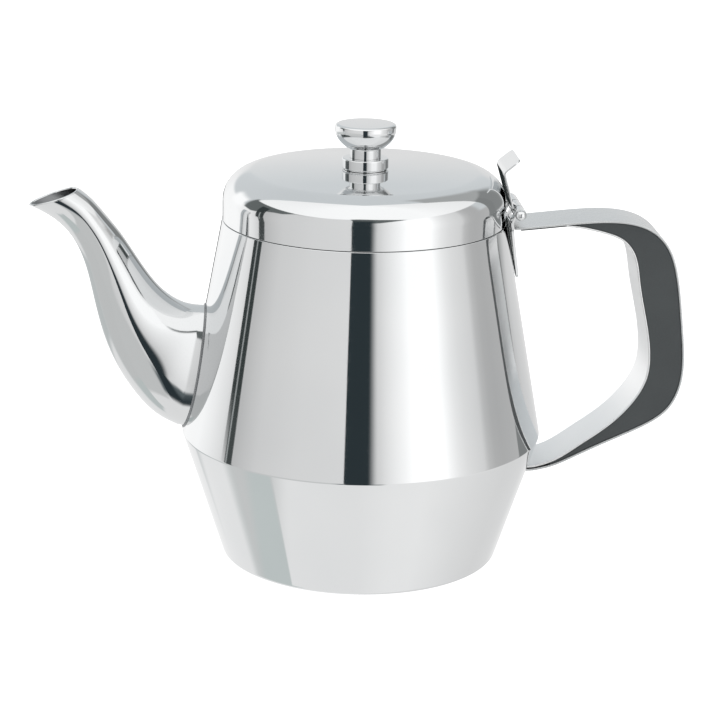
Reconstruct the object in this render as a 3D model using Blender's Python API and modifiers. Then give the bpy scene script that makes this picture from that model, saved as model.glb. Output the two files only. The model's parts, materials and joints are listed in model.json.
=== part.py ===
"""Stainless-steel gooseneck teapot with a hinged lid and an insulated band handle.

The origin is at the middle of the base, with +Z up, the spout towards -X and the hinge and
handle towards +X. Lengths in the constants are in millimetres, and MM turns them into metres.
"""

import math

import bmesh
import bpy
from mathutils import Matrix, Vector

MM = 0.001

# Sheet and fits
SHEET = 0.9
GAP = 0.3
SEAM_GAP = 0.3

# Body: two cones that meet at the shoulder
BASE_RADIUS = 57.5
BASE_CORNER = 2.5
SHOULDER_RADIUS = 75.0
SHOULDER_Z = 53.6
RIM_RADIUS = 58.4
RIM_Z = 143.3
RIM_CHAMFER = 0.3
NECK_RADIUS = 55.4
NECK_TOP_Z = 148.2

# Strainer holes punched through the wall behind the spout
HOLE_RADIUS = 2.5
HOLE_PITCH = 8.0
HOLE_ROWS_Z = (66.0, 73.0, 80.0, 87.0, 94.0)
HOLE_FEWEST = 2
HOLE_CUTTER_LENGTH = 12.0

# Lid: a drawn cap with a skirt
SKIRT_RADIUS = 58.2
LID_SHOULDER = 12.5
LID_TOP_Z = 164.3
DOME_RADIUS = 1500.0

# Knob stack on the lid's axis
KNOB_TOP_Z = 183.1
KNOB_FLAT_RADIUS = 11.2
KNOB_RADIUS = 12.55
KNOB_RIM_Z = 181.9
KNOB_NECK_RADIUS = 6.4
KNOB_NECK_Z = 173.7
KNOB_BOWL_FOOT_RADIUS = 8.2
KNOB_BOWL_POWER = 2.5
KNOB_BOWL_DEPTHS = (0.2, 0.38, 0.55, 0.72, 0.87, 1.0)
KNOB_BORE_TOP_Z = 177.7
COLLAR_RADIUS = 9.6
COLLAR_TOP_Z = 169.1
COLLAR_BEVEL = 0.7
COLLAR_FOOT_HEIGHT = 0.8
COLLAR_FOOT_INSET = 0.9
WASHER_RADIUS = 6.5
WASHER_THICKNESS = 1.0
WASHER_GAP = 0.4
SCREW_RADIUS = 2.0
SCREW_TIP_GAP = 1.0
SCREW_TIP_CHAMFER = 0.5
SCREW_HEAD_RADIUS = 3.8
SCREW_HEAD_HEIGHT = 2.6
SCREW_HEAD_CHAMFER = 1.0
SLOT_WIDTH = 1.0
SLOT_DEPTH = 1.1
WASHER_TOP_Z = LID_TOP_Z - SHEET - WASHER_GAP

# Lid hinge: its pin runs along Y, and each leaf joins it through its knuckles
HINGE_X = 62.6
HINGE_Z = 148.3
BARREL_HALF_LENGTH = 14.6
KNUCKLES = 5
KNUCKLE_RADIUS = 2.5
KNUCKLE_BORE = 1.3
PIN_RADIUS = 1.2
PIN_HEAD_RADIUS = 2.25
PIN_HEAD_SEAT = 0.55
PIN_HEAD_WRAP = 0.62
WEB_THICKNESS = 1.0
WEB_INSET = 0.01
LID_LEAF_THICKNESS = 0.8
LID_LEAF_HALF_WIDTH = 12.0
LID_LEAF_PATH = ((60.2, 150.3), (58.6, 156.8), (56.3, 164.7), (62.5, 169.7))
LID_WEB_ROOT = (0.3, 0.2)
LID_WEB_RISE = 0.1
BODY_LEAF_THICKNESS = 1.1
BODY_WEB_ROOT = (0.4, -0.8)
BODY_WEB_DROP = 0.3
TONGUE_GAP = 0.6
TONGUE_TOP_Z = 144.6
TONGUE_HALF_PLAN = ((0, 118.2), (2, 119.7), (9.5, 136.1), (12, 140.6), (BARREL_HALF_LENGTH, 142.6))

# Handle: two flat bands with a filler between them
BAND_HALF_WIDTH = 12.5
INSERT_HALF_WIDTH = 12.1
BAND_THICKNESS = 1.0
INNER_BAND_THICKNESS = 0.8
INSERT_TOP_X = 90.0
INSERT_LOW_X = 81.0
HANDLE_SPANS = 2

# Spout: its pressed halves meet on the plane y = 0
SPOUT_WALL = 1.0
SPOUT_ARC_STEPS = 10
SPOUT_SPANS = 2

# Facets round each kind of turned shape, and along each kind of corner
ROUND_STEPS = 72
SMALL_STEPS = 32
SCREW_STEPS = 20
PIN_STEPS = 16
HOLE_STEPS = 10
CORNER_STEPS = 4
SHOULDER_STEPS = 8
DOME_STEPS = 3
KNOB_EDGE_STEPS = 2
PIN_HEAD_STEPS = 7
SMOOTH_ANGLE = math.radians(30)

STEEL = (0.80, 0.81, 0.82, 1.0)
INSERT_GREY = (0.075, 0.082, 0.088, 1.0)
MIRROR = 0.06
BRIGHT = 0.12
SATIN = 0.25
MATTE = 0.6


def clear_scene():
    """Removes every object that the scene starts with."""
    for obj in list(bpy.data.objects):
        bpy.data.objects.remove(obj, do_unlink=True)


def new_collection(name, cutters=False):
    """Adds a collection to the scene; one for cutters is left out of renders."""
    collection = bpy.data.collections.new(name)
    collection.hide_render = cutters
    bpy.context.scene.collection.children.link(collection)
    return collection


def material(name, colour, metallic, roughness):
    """A Principled material of one finish."""
    made = bpy.data.materials.new(name)
    made.use_nodes = True
    shader = made.node_tree.nodes["Principled BSDF"]
    shader.inputs["Base Color"].default_value = colour
    shader.inputs["Metallic"].default_value = metallic
    shader.inputs["Roughness"].default_value = roughness
    made.diffuse_color = colour
    return made


def steel(name, roughness):
    return material(name, STEEL, 1.0, roughness)


def place(name, mesh, collection, finish=None, pivot=(0, 0, 0), parent=None):
    """Links a mesh drawn in millimetres about pivot, and gives it its finish."""
    mesh.transform(Matrix.Translation(-Vector(pivot)))
    mesh.transform(Matrix.Scale(MM, 4))
    obj = bpy.data.objects.new(name, mesh)
    collection.objects.link(obj)
    obj.location = Vector(pivot) * MM
    if parent:
        obj.parent = parent
        obj.location -= parent.location
    if finish:
        mesh.materials.append(finish)
    return obj


def smooth(obj):
    """Shades the round faces smooth and keeps the real edges sharp."""
    obj.data.shade_smooth()
    obj.data.set_sharp_from_angle(angle=SMOOTH_ANGLE)


def as_mesh(name, bm):
    """Turns a bmesh into a mesh whose faces point out."""
    bmesh.ops.recalc_face_normals(bm, faces=bm.faces)
    mesh = bpy.data.meshes.new(name)
    bm.to_mesh(mesh)
    bm.free()
    return mesh


def arc(centre_x, centre_z, radius, start, end, steps):
    """Points of an arc in the XZ plane, with its angles in degrees from +X."""
    angles = [math.radians(start + (end - start) * i / steps) for i in range(steps + 1)]
    return [
        (centre_x + radius * math.cos(a), centre_z + radius * math.sin(a)) for a in angles
    ]


def oval_corner(centre_x, centre_z, across, up, steps):
    """Points of a quarter ellipse in the XZ plane, from its top round to its outer side."""
    turns = [math.pi / 2 * i / steps for i in range(steps + 1)]
    return [(centre_x + across * math.sin(t), centre_z + up * math.cos(t)) for t in turns]


def turned(name, profile, steps, closed, collection, finish, parent=None):
    """A turned piece: a profile at +X, running down its outer side, with a Screw modifier."""
    bm = bmesh.new()
    verts = [bm.verts.new((x * MM, 0, z * MM)) for x, z in profile]
    for a, b in zip(verts, verts[1:] + verts[:1] if closed else verts[1:]):
        bm.edges.new((a, b))
    mesh = bpy.data.meshes.new(name)
    bm.to_mesh(mesh)
    bm.free()
    obj = bpy.data.objects.new(name, mesh)
    collection.objects.link(obj)
    obj.data.materials.append(finish)
    if parent:
        obj.parent = parent
        obj.location = -parent.location
    screw = obj.modifiers.new("Screw", "SCREW")
    screw.steps = steps
    screw.render_steps = steps
    screw.use_merge_vertices = True
    screw.merge_threshold = 1e-6
    screw.use_smooth_shade = True
    return obj


def cylinder(radius, depth, segments, matrix):
    """A capped cylinder as a bmesh, with its axis along the matrix's Z."""
    bm = bmesh.new()
    bmesh.ops.create_cone(
        bm,
        cap_ends=True,
        segments=segments,
        radius1=radius,
        radius2=radius,
        depth=depth,
        matrix=matrix,
    )
    return bm


def prism(outline, low, high):
    """An outline in the XZ plane, extruded between two values of Y, as a bmesh."""
    bm = bmesh.new()
    face = bm.faces.new([bm.verts.new((x, low, z)) for x, z in outline])
    moved = bmesh.ops.extrude_face_region(bm, geom=[face])["geom"]
    points = [v for v in moved if isinstance(v, bmesh.types.BMVert)]
    bmesh.ops.translate(bm, verts=points, vec=(0, high - low, 0))
    return bm


def box(low, high):
    """A box between two corners, as a bmesh."""
    bm = bmesh.new()
    size = Vector(high) - Vector(low)
    middle = (Vector(high) + Vector(low)) / 2
    bmesh.ops.create_cube(bm, size=1, matrix=Matrix.LocRotScale(middle, None, size))
    return bm


def boolean(target, others, operation, cutters):
    """Adds an exact Boolean for each bmesh of a dict of names, kept as hidden helpers."""
    for name, bm in others.items():
        helper = place(name, as_mesh(name, bm), cutters)
        helper.parent = target.parent
        if target.parent:
            helper.location -= target.parent.location
        helper.hide_render = True
        helper.display_type = "WIRE"
        modifier = target.modifiers.new(name, "BOOLEAN")
        modifier.operation = operation
        modifier.solver = "EXACT"
        modifier.object = helper


def cone_radius(z):
    """Outer radius of the upper cone at a height."""
    share = (z - SHOULDER_Z) / (RIM_Z - SHOULDER_Z)
    return SHOULDER_RADIUS + share * (RIM_RADIUS - SHOULDER_RADIUS)


def lower_radius(z):
    """Outer radius of the lower cone at a height."""
    return BASE_RADIUS + (z / SHOULDER_Z) * (SHOULDER_RADIUS - BASE_RADIUS)


def make_lower_body(collection):
    """The drawn cup: flat base, small corner and lower cone, up to the shoulder seam."""
    top = SHOULDER_Z - SEAM_GAP / 2
    lean = math.degrees(math.atan2(SHOULDER_RADIUS - BASE_RADIUS, SHOULDER_Z))
    corner_x = lower_radius(BASE_CORNER) - BASE_CORNER / math.cos(math.radians(lean))
    outer = arc(corner_x, BASE_CORNER, BASE_CORNER, -lean, -90, CORNER_STEPS)
    inner = arc(corner_x, BASE_CORNER, BASE_CORNER - SHEET, -90, -lean, CORNER_STEPS)
    profile = [(0, SHEET)] + inner
    profile += [(lower_radius(top) - SHEET, top), (lower_radius(top), top)]
    profile += outer + [(0, 0)]
    turned("lower_body", profile, ROUND_STEPS, False, collection, steel("lower_body", MIRROR))


def make_upper_body(collection, cutters):
    """The upper cone with the lid's ledge, the turned-in neck and the strainer holes."""
    bottom = SHOULDER_Z + SEAM_GAP / 2
    profile = [
        (NECK_RADIUS, NECK_TOP_Z),
        (NECK_RADIUS, RIM_Z),
        (RIM_RADIUS - RIM_CHAMFER, RIM_Z),
        (RIM_RADIUS, RIM_Z - RIM_CHAMFER),
        (cone_radius(bottom), bottom),
        (cone_radius(bottom) - SHEET, bottom),
        (RIM_RADIUS - SHEET, RIM_Z - SHEET),
        (NECK_RADIUS - SHEET, RIM_Z - SHEET),
        (NECK_RADIUS - SHEET, NECK_TOP_Z),
    ]
    finish = steel("upper_body", MIRROR)
    body = turned("upper_body", profile, ROUND_STEPS, True, collection, finish)
    turn = Matrix.Rotation(math.pi / 2, 4, "Y")
    holes = {}
    for row, z in enumerate(HOLE_ROWS_Z):
        count = HOLE_FEWEST + row % 2
        for i in range(count):
            y = (i - (count - 1) / 2) * HOLE_PITCH
            at = Matrix.Translation((-cone_radius(z), y, z)) @ turn
            punch = cylinder(HOLE_RADIUS, HOLE_CUTTER_LENGTH, HOLE_STEPS, at)
            holes[f"strainer_hole_{row}_{i}"] = punch
    boolean(body, holes, "DIFFERENCE", cutters)


def make_lid_shell(collection, parent):
    """The drawn cap: nearly flat dome, rolled shoulder and skirt, with the screw's hole."""
    centre_x = SKIRT_RADIUS - LID_SHOULDER
    dome_z = LID_TOP_Z - DOME_RADIUS
    centre_z = dome_z + math.sqrt((DOME_RADIUS - LID_SHOULDER) ** 2 - centre_x**2)
    meet = math.degrees(math.atan2(centre_z - dome_z, centre_x))
    hole = SCREW_RADIUS + GAP
    bottom = RIM_Z + GAP

    def dome(drop):
        at = math.degrees(math.acos(hole / (DOME_RADIUS - drop)))
        return arc(0, dome_z, DOME_RADIUS - drop, at, meet, DOME_STEPS)[:-1]

    def shoulder(drop):
        return arc(centre_x, centre_z, LID_SHOULDER - drop, meet, 0, SHOULDER_STEPS)

    profile = dome(0) + shoulder(0)
    profile += [(SKIRT_RADIUS, bottom), (SKIRT_RADIUS - SHEET, bottom)]
    profile += (dome(SHEET) + shoulder(SHEET))[::-1]
    finish = steel("lid_shell", BRIGHT)
    turned("lid_shell", profile, ROUND_STEPS, True, collection, finish, parent)


def make_knob(collection, parent):
    """The turned knob: flat top, rounded edge, full bowl on a neck, and a blind screw hole."""
    edge = oval_corner(
        KNOB_FLAT_RADIUS,
        KNOB_RIM_Z,
        KNOB_RADIUS - KNOB_FLAT_RADIUS,
        KNOB_TOP_Z - KNOB_RIM_Z,
        KNOB_EDGE_STEPS,
    )
    bowl = []
    for depth in KNOB_BOWL_DEPTHS:
        spread = (KNOB_RADIUS - KNOB_BOWL_FOOT_RADIUS) * (1 - depth**KNOB_BOWL_POWER)
        z = KNOB_RIM_Z - depth * (KNOB_RIM_Z - KNOB_NECK_Z)
        bowl.append((KNOB_BOWL_FOOT_RADIUS + spread, z))
    bore = SCREW_RADIUS + GAP
    bottom = COLLAR_TOP_Z + GAP
    profile = [(0, KNOB_TOP_Z)] + edge + bowl
    profile += [(KNOB_NECK_RADIUS, KNOB_NECK_Z), (KNOB_NECK_RADIUS, bottom), (bore, bottom)]
    profile += [(bore, KNOB_BORE_TOP_Z), (0, KNOB_BORE_TOP_Z)]
    turned("knob", profile, SMALL_STEPS, False, collection, steel("knob", MIRROR), parent)


def make_collar(collection, parent):
    """The disc between the knob's neck and the lid, drawn in at its foot."""
    bore = SCREW_RADIUS + GAP
    low = LID_TOP_Z + GAP
    profile = [
        (bore, COLLAR_TOP_Z),
        (COLLAR_RADIUS - COLLAR_BEVEL, COLLAR_TOP_Z),
        (COLLAR_RADIUS, COLLAR_TOP_Z - COLLAR_BEVEL),
        (COLLAR_RADIUS, low + COLLAR_FOOT_HEIGHT),
        (COLLAR_RADIUS - COLLAR_FOOT_INSET, low),
        (bore, low),
    ]
    finish = steel("knob_collar", MIRROR)
    turned("knob_collar", profile, SMALL_STEPS, True, collection, finish, parent)


def make_washer(collection, parent):
    """The flat washer under the lid's dome."""
    bore = SCREW_RADIUS + GAP
    low = WASHER_TOP_Z - WASHER_THICKNESS
    profile = [(bore, WASHER_TOP_Z), (WASHER_RADIUS, WASHER_TOP_Z), (WASHER_RADIUS, low), (bore, low)]
    finish = steel("knob_washer", SATIN)
    turned("knob_washer", profile, SMALL_STEPS, True, collection, finish, parent)


def make_screw(collection, cutters, parent):
    """The slotted screw that holds the knob's stack together from inside the lid."""
    tip = KNOB_BORE_TOP_Z - SCREW_TIP_GAP
    seat = WASHER_TOP_Z - WASHER_THICKNESS - GAP
    head_low = seat - SCREW_HEAD_HEIGHT
    profile = [
        (0, tip),
        (SCREW_RADIUS - SCREW_TIP_CHAMFER, tip),
        (SCREW_RADIUS, tip - SCREW_TIP_CHAMFER),
        (SCREW_RADIUS, seat),
        (SCREW_HEAD_RADIUS, seat),
        (SCREW_HEAD_RADIUS, head_low + SCREW_HEAD_CHAMFER),
        (SCREW_HEAD_RADIUS - SCREW_HEAD_CHAMFER, head_low),
        (0, head_low),
    ]
    finish = steel("knob_screw", SATIN)
    screw = turned("knob_screw", profile, SCREW_STEPS, False, collection, finish, parent)
    reach = SCREW_HEAD_RADIUS + SLOT_DEPTH
    low = (-reach, -SLOT_WIDTH / 2, head_low - SLOT_DEPTH)
    slot = box(low, (reach, SLOT_WIDTH / 2, head_low + SLOT_DEPTH))
    boolean(screw, {"screw_slot": slot}, "DIFFERENCE", cutters)


def tongue_x(z):
    """X of the body leaf's inner face, which lies just off the upper cone."""
    return cone_radius(z) + TONGUE_GAP


def tongue_plate(half_plan):
    """A plate that leans with the cone, from the +Y half of its plan as (y, z) points."""
    plan = half_plan + [(-y, z) for y, z in reversed(half_plan) if y > 0]
    bm = bmesh.new()
    face = bm.faces.new([bm.verts.new((tongue_x(z), y, z)) for y, z in plan])
    moved = bmesh.ops.extrude_face_region(bm, geom=[face])["geom"]
    points = [v for v in moved if isinstance(v, bmesh.types.BMVert)]
    lean = math.atan2(SHOULDER_RADIUS - RIM_RADIUS, RIM_Z - SHOULDER_Z)
    outward = Vector((math.cos(lean), 0, math.sin(lean)))
    bmesh.ops.translate(bm, verts=points, vec=outward * BODY_LEAF_THICKNESS)
    return bm


def knuckle_spans(first):
    """The Y spans of every second knuckle along the barrel, from the first one."""
    pitch = 2 * BARREL_HALF_LENGTH / KNUCKLES
    for i in range(first, KNUCKLES, 2):
        low = -BARREL_HALF_LENGTH + i * pitch
        yield low + GAP / 2 * (i > 0), low + pitch - GAP / 2 * (i < KNUCKLES - 1)


def knuckle_shapes(leaf, first, web):
    """Barrels, each with a web of the given XZ outline that joins it to the leaf's plate."""
    joined = {}
    along_y = Matrix.Rotation(math.pi / 2, 4, "X")
    for i, (low, high) in enumerate(knuckle_spans(first)):
        at = Matrix.Translation((HINGE_X, (low + high) / 2, HINGE_Z))
        barrel = cylinder(KNUCKLE_RADIUS, high - low, PIN_STEPS, at @ along_y)
        joined[f"{leaf}_barrel_{i}"] = barrel
        joined[f"{leaf}_web_{i}"] = prism(web, low + WEB_INSET, high - WEB_INSET)
    return joined


def bore_shape():
    """A rod through the whole barrel, which leaves the pin's running clearance."""
    along_y = Matrix.Rotation(math.pi / 2, 4, "X")
    at = Matrix.Translation((HINGE_X, 0, HINGE_Z))
    return cylinder(KNUCKLE_BORE, 3 * BARREL_HALF_LENGTH, PIN_STEPS, at @ along_y)


def make_body_leaf(collection, cutters):
    """The pointed tongue on the body, with its three knuckles."""
    half_plan = list(TONGUE_HALF_PLAN) + [(BARREL_HALF_LENGTH, TONGUE_TOP_Z)]
    mesh = as_mesh("body_hinge_leaf", tongue_plate(half_plan))
    leaf = place("body_hinge_leaf", mesh, collection, steel("body_hinge_leaf", BRIGHT))
    root_x = tongue_x(TONGUE_TOP_Z) + BODY_WEB_ROOT[0]
    root_z = TONGUE_TOP_Z + BODY_WEB_ROOT[1]
    end_z = HINGE_Z - KNUCKLE_BORE - BODY_WEB_DROP
    web = [
        (root_x, root_z),
        (HINGE_X, end_z - WEB_THICKNESS),
        (HINGE_X, end_z),
        (root_x, root_z + WEB_THICKNESS),
    ]
    boolean(leaf, knuckle_shapes("body", 0, web), "UNION", cutters)
    boolean(leaf, {"body_bore": bore_shape()}, "DIFFERENCE", cutters)


def make_lid_leaf(collection, cutters, parent):
    """The bent strip up the lid's back, with two knuckles and the thumb tab."""
    pivot = (HINGE_X, 0, HINGE_Z)
    half = LID_LEAF_HALF_WIDTH
    outer = [Vector(p) for p in LID_LEAF_PATH]
    foot, middle, bend, tip = offset_path(outer, -LID_LEAF_THICKNESS)
    outline = outer + [tip, bend, middle, foot]
    mesh = as_mesh("lid_hinge_leaf", prism(outline, -half, half))
    finish = steel("lid_hinge_leaf", BRIGHT)
    leaf = place("lid_hinge_leaf", mesh, collection, finish, pivot, parent)
    root_x = foot.x + LID_WEB_ROOT[0]
    root_z = foot.y + LID_WEB_ROOT[1]
    end_z = HINGE_Z + KNUCKLE_BORE + LID_WEB_RISE
    web = [
        (root_x, root_z),
        (HINGE_X, end_z),
        (HINGE_X, end_z + WEB_THICKNESS),
        (root_x, root_z + WEB_THICKNESS),
    ]
    boolean(leaf, knuckle_shapes("lid", 1, web), "UNION", cutters)
    boolean(leaf, {"lid_bore": bore_shape()}, "DIFFERENCE", cutters)


def make_pin(collection):
    """The hinge pin with a ball head peened over each end."""
    head_y = BARREL_HALF_LENGTH + GAP
    reach = math.sqrt(PIN_HEAD_RADIUS**2 - PIN_RADIUS**2)
    centre = head_y + reach * PIN_HEAD_SEAT
    wrap = math.degrees(math.acos(PIN_RADIUS / PIN_HEAD_RADIUS)) * PIN_HEAD_WRAP
    cap = arc(0, centre, PIN_HEAD_RADIUS, 90, -wrap, PIN_HEAD_STEPS)[1:]
    profile = [(0, centre + PIN_HEAD_RADIUS)] + cap + [(PIN_RADIUS, head_y)]
    profile += [(x, -z) for x, z in reversed(profile)]
    pin = turned("hinge_pin", profile, PIN_STEPS, False, collection, steel("hinge_pin", MIRROR))
    pin.location = Vector((HINGE_X, 0, HINGE_Z)) * MM
    pin.rotation_euler = (math.pi / 2, 0, 0)


def smooth_path(points, spans):
    """A smooth open path through points, with Catmull-Rom spans."""
    path = [Vector(p) for p in points]
    path = [2 * path[0] - path[1]] + path + [2 * path[-1] - path[-2]]
    found = []
    for a, b, c, d in zip(path, path[1:], path[2:], path[3:]):
        for i in range(spans):
            t = i / spans
            found.append(
                (2 * b + (c - a) * t + (2 * a - 5 * b + 4 * c - d) * t**2
                 + (3 * b - a - 3 * c + d) * t**3) / 2
            )
    return found + [path[-2]]


def offset_path(path, distance):
    """A path in the XZ plane, moved to the right of its direction by a distance."""
    moved = []
    for i, point in enumerate(path):
        along = (path[min(i + 1, len(path) - 1)] - path[max(i - 1, 0)]).normalized()
        moved.append(point + Vector((along.y, -along.x)) * distance)
    return moved


def handle_paths():
    """Outer face of the outer band and hand-side face of the inner band, from the top."""
    outer = smooth_path(
        [
            (60.8, 142.1),
            (73.0, 143.2),
            (88.0, 144.6),
            (100.5, 145.1),
            (110.0, 144.1),
            (118.8, 140.6),
            (125.5, 133.3),
            (129.7, 120.8),
            (132.6, 100.0),
            (133.9, 84.0),
            (132.6, 73.0),
            (127.6, 63.5),
            (118.5, 57.0),
            (104.0, 50.3),
            (88.0, 42.8),
            (79.5, 39.2),
            (70.7, 37.3),
        ],
        HANDLE_SPANS,
    )
    inner = smooth_path(
        [
            (85.5, 142.0),
            (93.5, 140.8),
            (99.5, 139.2),
            (106.0, 136.2),
            (110.0, 131.4),
            (112.8, 120.0),
            (116.3, 103.0),
            (118.6, 88.0),
            (117.8, 78.0),
            (112.2, 67.4),
            (102.0, 57.1),
            (90.3, 48.8),
            (79.2, 42.0),
            (71.2, 39.6),
        ],
        HANDLE_SPANS,
    )
    return outer, inner


def flat_piece(name, outline, half_width, collection, finish):
    """A flat outline in the XZ plane, extruded to both sides with a filled 2D curve."""
    curve = bpy.data.curves.new(name, "CURVE")
    curve.dimensions = "2D"
    curve.fill_mode = "BOTH"
    curve.extrude = half_width * MM
    spline = curve.splines.new("POLY")
    spline.points.add(len(outline) - 1)
    for point, (x, z) in zip(spline.points, outline):
        point.co = (x * MM, z * MM, 0, 1)
    spline.use_cyclic_u = True
    obj = bpy.data.objects.new(name, curve)
    obj.rotation_euler = (math.pi / 2, 0, 0)
    curve.materials.append(finish)
    collection.objects.link(obj)


def make_handle(collection):
    """Two steel bands and the filler that keeps them apart."""
    outer, inner = handle_paths()
    outer_back = offset_path(outer, BAND_THICKNESS)
    inner_back = offset_path(inner, -INNER_BAND_THICKNESS)
    for name, face, back in (
        ("handle_outer_band", outer, outer_back),
        ("handle_inner_band", inner, inner_back),
    ):
        finish = steel(name, SATIN)
        flat_piece(name, face + back[::-1], BAND_HALF_WIDTH, collection, finish)
    near_outer = filled_stretch(offset_path(outer, BAND_THICKNESS + GAP))
    near_inner = filled_stretch(offset_path(inner, -INNER_BAND_THICKNESS - GAP))
    filler = near_outer + near_inner[::-1]
    finish = material("handle_insert", INSERT_GREY, 0.0, MATTE)
    flat_piece("handle_insert", filler, INSERT_HALF_WIDTH, collection, finish)


def filled_stretch(path):
    """The part of a handle path along which the bands are far enough apart to be filled."""
    middle = (path[0].y + path[-1].y) / 2
    return [p for p in path if p.x > (INSERT_TOP_X if p.y > middle else INSERT_LOW_X)]


def spout_stations():
    """Sections from mouth to root.

    Each has its upper edge, lower edge, half width, the fullness of its upper and of its lower
    half, and how far its widest line sags towards the lower edge.
    """
    return smooth_path(
        [
            (-116.8, 156.1, -137.0, 149.6, 9.1, 1.97, 1.95, -0.15),
            (-111.8, 152.0, -128.5, 144.8, 8.8, 1.90, 1.65, -0.18),
            (-106.4, 145.8, -120.6, 137.4, 9.0, 1.83, 1.48, -0.15),
            (-100.8, 138.8, -115.6, 127.9, 9.9, 1.78, 1.48, -0.10),
            (-94.6, 129.5, -112.2, 115.5, 11.2, 1.78, 1.50, -0.06),
            (-88.8, 120.7, -109.2, 101.8, 13.0, 1.80, 1.53, -0.02),
            (-83.2, 114.0, -104.8, 87.8, 14.5, 1.87, 1.61, 0.035),
            (-77.5, 109.6, -97.6, 74.2, 15.5, 2.02, 1.70, 0.11),
            (-72.0, 107.3, -87.5, 62.0, 15.8, 2.20, 1.76, 0.19),
            (-66.0, 106.6, -76.0, 55.3, 14.8, 2.33, 1.78, 0.29),
        ],
        SPOUT_SPANS,
    )


def spout_ring(station, wall, side):
    """Half of an oval section, from its upper edge round side to its lower edge.

    Both quarters are superellipses; their powers are the station's two fullnesses.
    """
    upper = Vector((station[0], 0, station[1]))
    lower = Vector((station[2], 0, station[3]))
    middle = (upper + lower) / 2
    along = (upper - lower).normalized()
    reach = (upper - lower).length / 2 - wall
    width = station[4] - wall - SEAM_GAP / 2
    ring = []
    for i in range(SPOUT_ARC_STEPS + 1):
        turn = math.pi * i / SPOUT_ARC_STEPS
        power = 2 / (station[5] if i < SPOUT_ARC_STEPS / 2 else station[6])
        rise = math.copysign(abs(math.cos(turn)) ** power, math.cos(turn))
        rise -= station[7] * (1 - rise * rise)
        y = side * (SEAM_GAP / 2 + width * abs(math.sin(turn)) ** power)
        ring.append(middle + along * reach * rise + Vector((0, y, 0)))
    return ring


def onto_body(ring):
    """The ring moved along X until it stands just off the upper cone."""
    return [
        Vector((-math.sqrt((cone_radius(p.z) + GAP) ** 2 - p.y**2), p.y, p.z)) for p in ring
    ]


def make_spout_half(name, side, collection):
    """One pressed half: a loft of C sections whose root follows the body's cone."""
    stations = spout_stations()
    outer = [spout_ring(s, 0, side) for s in stations]
    inner = [spout_ring(s, SPOUT_WALL, side) for s in stations]
    outer[-1] = onto_body(outer[-1])
    inner[-1] = onto_body(inner[-1])
    bm = bmesh.new()
    skins = [[[bm.verts.new(p) for p in ring] for ring in skin] for skin in (outer, inner)]
    for a, b in zip(*[skin_rows(skin) for skin in skins]):
        bm.faces.new(a)
        bm.faces.new(b[::-1])
    for rim in zip(*[skin_rim(skin) for skin in skins]):
        (a, b), (c, d) = rim
        bm.faces.new((a, b, d, c))
    smooth(place(name, as_mesh(name, bm), collection, steel(name, MIRROR)))


def skin_rows(skin):
    """Every quad of a grid of vertices."""
    for ring, after in zip(skin, skin[1:]):
        for i in range(len(ring) - 1):
            yield (ring[i], ring[i + 1], after[i + 1], after[i])


def skin_rim(skin):
    """Every edge round the outside of a grid of vertices, in order."""
    rim = skin[0] + [ring[-1] for ring in skin[1:]]
    rim += skin[-1][-2::-1] + [ring[0] for ring in skin[-2:0:-1]]
    return zip(rim, rim[1:] + rim[:1])


def main():
    clear_scene()
    parts = new_collection("teapot")
    cutters = new_collection("teapot_cutters", cutters=True)
    lid_pivot = bpy.data.objects.new("lid_pivot", None)
    lid_pivot.location = Vector((HINGE_X, 0, HINGE_Z)) * MM
    parts.objects.link(lid_pivot)

    make_lower_body(parts)
    make_upper_body(parts, cutters)
    make_spout_half("spout_left_half", -1, parts)
    make_spout_half("spout_right_half", 1, parts)
    make_body_leaf(parts, cutters)
    make_pin(parts)
    make_handle(parts)
    make_lid_shell(parts, lid_pivot)
    make_lid_leaf(parts, cutters, lid_pivot)
    make_knob(parts, lid_pivot)
    make_collar(parts, lid_pivot)
    make_washer(parts, lid_pivot)
    make_screw(parts, cutters, lid_pivot)


main()
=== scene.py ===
"""Looks of a mirror-polished stainless-steel teapot with a hinged lid and a filled band handle.

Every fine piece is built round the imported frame: +Z up, the origin under the pot's axis, the
spout towards -X and the handle towards +X. Lengths are in millimetres until a mesh is made, and
MM turns them into metres.
"""

import json
import math

import bmesh
import bpy
import numpy as np
from mathutils import Matrix, Vector

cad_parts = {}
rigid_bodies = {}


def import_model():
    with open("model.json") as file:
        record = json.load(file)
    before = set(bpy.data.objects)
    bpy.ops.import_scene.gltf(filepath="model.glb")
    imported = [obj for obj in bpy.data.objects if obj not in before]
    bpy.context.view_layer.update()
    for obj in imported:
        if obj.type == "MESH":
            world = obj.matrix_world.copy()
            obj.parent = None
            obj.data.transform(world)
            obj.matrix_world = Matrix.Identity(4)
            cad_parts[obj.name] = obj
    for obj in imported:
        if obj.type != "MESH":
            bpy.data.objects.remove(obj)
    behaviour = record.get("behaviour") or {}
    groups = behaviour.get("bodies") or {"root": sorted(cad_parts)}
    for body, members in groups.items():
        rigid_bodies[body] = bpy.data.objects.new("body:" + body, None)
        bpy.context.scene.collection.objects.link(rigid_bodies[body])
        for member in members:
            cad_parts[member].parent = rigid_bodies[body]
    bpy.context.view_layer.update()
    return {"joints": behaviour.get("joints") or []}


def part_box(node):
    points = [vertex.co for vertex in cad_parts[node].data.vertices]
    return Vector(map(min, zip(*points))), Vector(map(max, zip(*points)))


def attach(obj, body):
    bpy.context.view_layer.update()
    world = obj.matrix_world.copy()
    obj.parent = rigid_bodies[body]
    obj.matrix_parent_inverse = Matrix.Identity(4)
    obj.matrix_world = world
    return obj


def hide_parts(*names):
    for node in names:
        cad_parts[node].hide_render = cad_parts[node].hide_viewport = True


for leftover in list(bpy.data.objects):
    bpy.data.objects.remove(leftover, do_unlink=True)
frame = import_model()

MM = 0.001


def low_of(node):
    """Lowest corner of a CAD node, in millimetres."""
    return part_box(node)[0] / MM


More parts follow.
